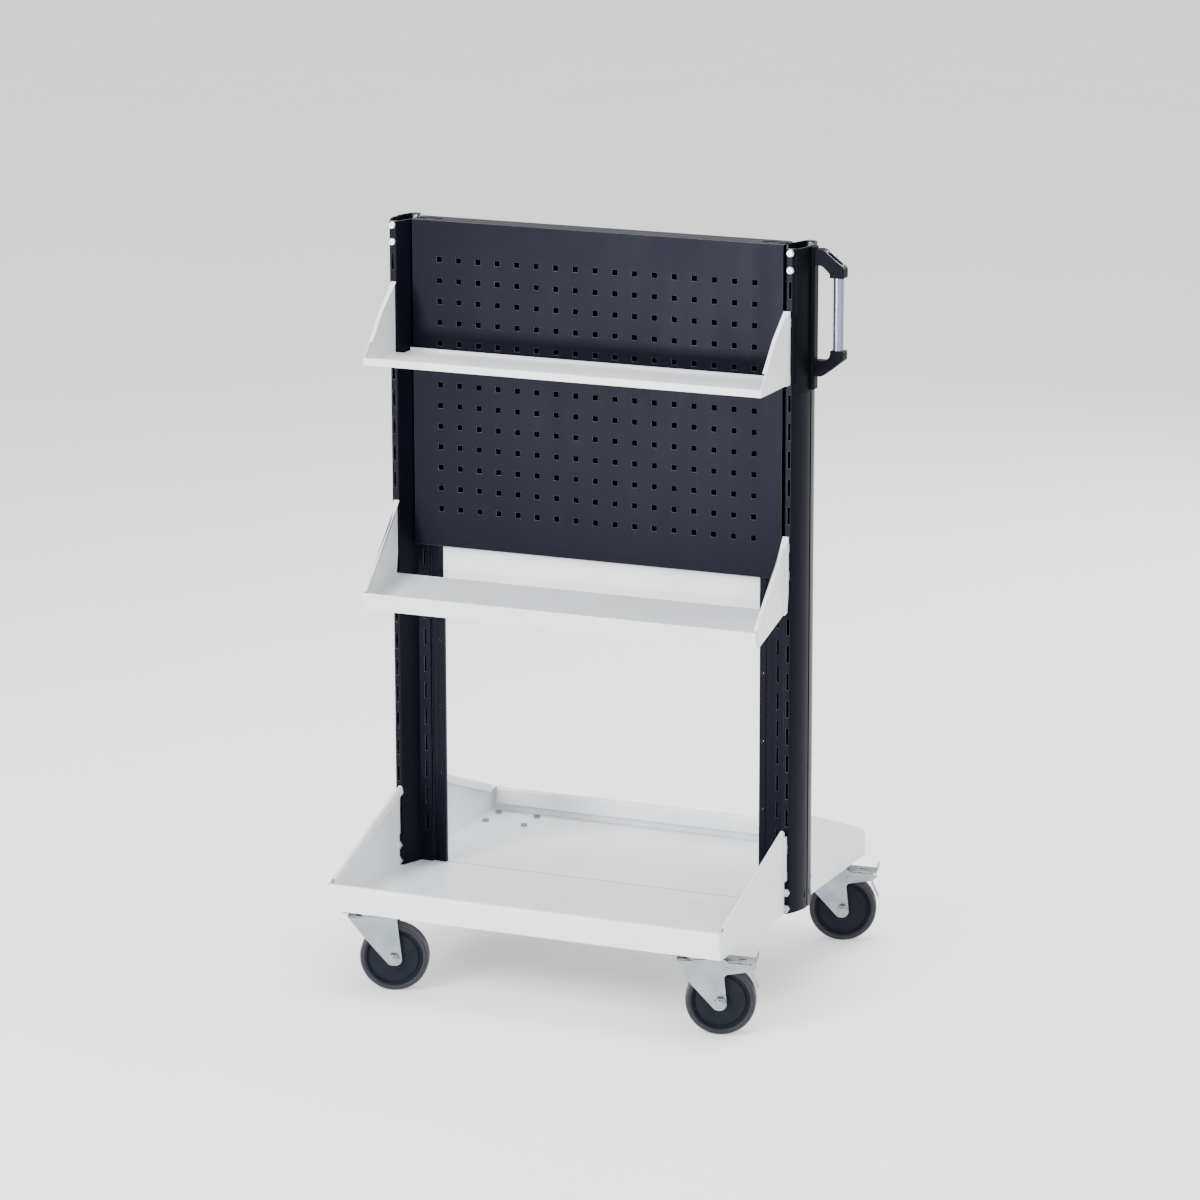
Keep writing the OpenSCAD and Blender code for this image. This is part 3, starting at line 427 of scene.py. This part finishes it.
def add_arm_trim():
    """Oval rim round the screw's opening in the upper arm's slanted end."""
    low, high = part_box("handle_upper_arm")
    middle = Vector((high.x - SLANT_RUN / 2, (low.y + high.y) / 2, high.z - SLANT_DROP / 2))
    half_length, half_width, band, proud, sunk = 0.0195, 0.0085, 0.0016, 0.0003, 0.0010
    straight = half_length - half_width

    def oval(grow):
        return (arc((straight, 0), half_width + grow, -90, 90, 16)
                + arc((-straight, 0), half_width + grow, 90, 270, 16))

    bm = bmesh.new()
    rings = [[bm.verts.new((x, y, z)) for x, y in oval(grow)]
             for grow, z in ((0, -sunk), (0, proud * 0.4), (-band * 0.3, proud),
                             (-band, proud * 0.6), (-band, -sunk))]
    for here, there in zip(rings, rings[1:] + rings[:1]):
        for k in range(len(here)):
            m = (k + 1) % len(here)
            bm.faces.new((here[k], here[m], there[m], there[k]))
    slant = Matrix.Rotation(math.atan2(SLANT_DROP, SLANT_RUN), 4, "Y")
    add_detail("upper_arm_trim", moved(bm, Matrix.Translation(middle) @ slant), "frame",
               "grip_aluminium")


def add_grip_collar():
    """Thin pale washer where the grip tube enters the upper arm."""
    grip_low, grip_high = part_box("handle_tube")
    arm_low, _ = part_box("handle_upper_arm")
    radius = (grip_high.x - grip_low.x) / 2
    thick, width = 0.0014, 0.0009
    outline = [(radius + 0.0001, -thick), (radius + width - 0.0003, -thick),
               (radius + width, 0.0003 - thick), (radius + width, -0.0001),
               (radius + 0.0001, -0.0001)]
    middle = (grip_low + grip_high) / 2
    add_detail("grip_collar", moved(lathe([(r, -y) for r, y in outline], 96),
                                    upright((middle.x, middle.y, arm_low.z))),
               "frame", "light_grey_steel")


# The rivets' place behind the axle and above the floor, and the leg's outer face and flare.
RIVET_BACK = 0.068
RIVET_Z = 0.136
LEG_OUTER = 0.0210
FLARE = math.radians(6)
BEND_BACK = 0.013
RIVET_RADIUS = 0.0021
RIVET_PROUD = 0.0010
RIVET_SUNK = 0.0004
NEAR_AXIS = 0.00001


def add_fork_rivets(corner):
    """A small domed rivet on the flared part of each leg, close below the crown."""
    dome = [(NEAR_AXIS, RIVET_PROUD), *arc((0, 0), RIVET_RADIUS, 80, 0, 6),
            (RIVET_RADIUS, -RIVET_SUNK), (NEAR_AXIS, -RIVET_SUNK)]
    dome = [(r, min(y, 0.0011)) for r, y in dome]
    for side, name in ((1, "rear"), (-1, "front")):
        out = LEG_OUTER + (RIVET_BACK - BEND_BACK) * math.tan(FLARE)
        local = (Matrix.Translation((-RIVET_BACK, side * out, 0))
                 @ Matrix.Rotation(side * FLARE + (math.pi if side < 0 else 0), 4, "Z"))
        axle = onto_axle(corner)
        lift = Matrix.Translation((0, 0, RIVET_Z - axle.translation.z))
        add_detail(corner + "_" + name + "_rivet", moved(lathe(dome, 24), axle @ lift @ local),
                   corner + "_swivel", "zinc")


# ---- Stage ----

FLOOR_SIZE = 90
FLOOR_GLOW = 0.5
SKY = 0.92


def add_floor():
    bpy.ops.mesh.primitive_plane_add(size=FLOOR_SIZE)
    floor = bpy.context.object
    floor.name = "floor"
    ground = Shader("floor", (0.86, 0.86, 0.86), 0.75, Emission_Color=(1, 1, 1, 1),
                    Emission_Strength=FLOOR_GLOW)
    cloud = ground.noise(0.6, 2)
    ground.feed("Base Color", ground.ramp(
        cloud, (0.3, (0.85, 0.85, 0.85)), (0.7, (0.87, 0.87, 0.87))))
    floor.data.materials.append(ground.material)


def add_light(name, place, target, size, power):
    data = bpy.data.lights.new(name, "AREA")
    data.shape = "RECTANGLE"
    data.size, data.size_y = size
    data.energy = power
    light = bpy.data.objects.new(name, data)
    aim = Vector(target) - Vector(place)
    light.matrix_world = (Matrix.Translation(place)
                          @ aim.to_track_quat("-Z", "Y").to_matrix().to_4x4())
    light.visible_camera = False
    bpy.context.scene.collection.objects.link(light)


def add_lights():
    middle = (0, 0, 0.7)
    add_light("key", (-2.2, -4.4, 3.4), middle, (2.0, 2.0), 285)
    add_light("fill", (3.8, -3.0, 2.4), middle, (2.4, 2.4), 90)
    add_light("top", (0.2, 0.4, 4.4), middle, (3.0, 3.0), 190)
    add_light("rear", (1.2, 4.2, 2.6), middle, (2.6, 2.0), 110)
    add_light("panel_glow", (-1.31, -3.7, 0.55), (0.2, 0, 1.25), (0.6, 0.5), 80)
    world = bpy.data.worlds.new("studio")
    world.use_nodes = True
    backdrop = world.node_tree.nodes["Background"]
    backdrop.inputs["Color"].default_value = (1, 1, 1, 1)
    backdrop.inputs["Strength"].default_value = SKY
    bpy.context.scene.world = world


add_camera()
carry_over()

# How far each kind of part's edges are broken.
SHEET_EDGE = 0.0003
PLATE_EDGE = 0.0004
FORK_EDGE = 0.0006
ARM_EDGE = 0.0012
for node in ("left_post", "right_post", "front_panel", "rear_panel", "base_plate", "cross_rail",
             "lower_shelf"):
    rounded_copy(node, SHEET_EDGE)
for node in ("front_tray", "rear_tray", "top_shelf"):
    rounded_copy(node, SHEET_EDGE, clamped=True)
for node in ("handle_upper_arm", "handle_lower_arm"):
    rounded_copy(node, ARM_EDGE, 3)
for node in ("handle_cover", "handle_bar", "top_screws", "bottom_screws", "handle_screws",
             "rail_bolts", "castor_bolts", "castor_nuts"):
    rounded_copy(node, SHEET_EDGE)
add_grip()
add_arm_trim()
add_grip_collar()
add_seam_shadow_strip()
for corner in CORNERS:
    add_fork_rivets(corner)
    add_wheel(corner)
    add_tyre(corner)
    rounded_copy(corner + "_fork", FORK_EDGE, 3)
    rounded_copy(corner + "_plate", PLATE_EDGE)
    rounded_copy(corner + "_axle", PLATE_EDGE)
for corner in BRAKED:
    rounded_copy(corner + "_pedal", PLATE_EDGE)
    rounded_copy(corner + "_pedal_pin", PLATE_EDGE)

add_floor()
add_lights()
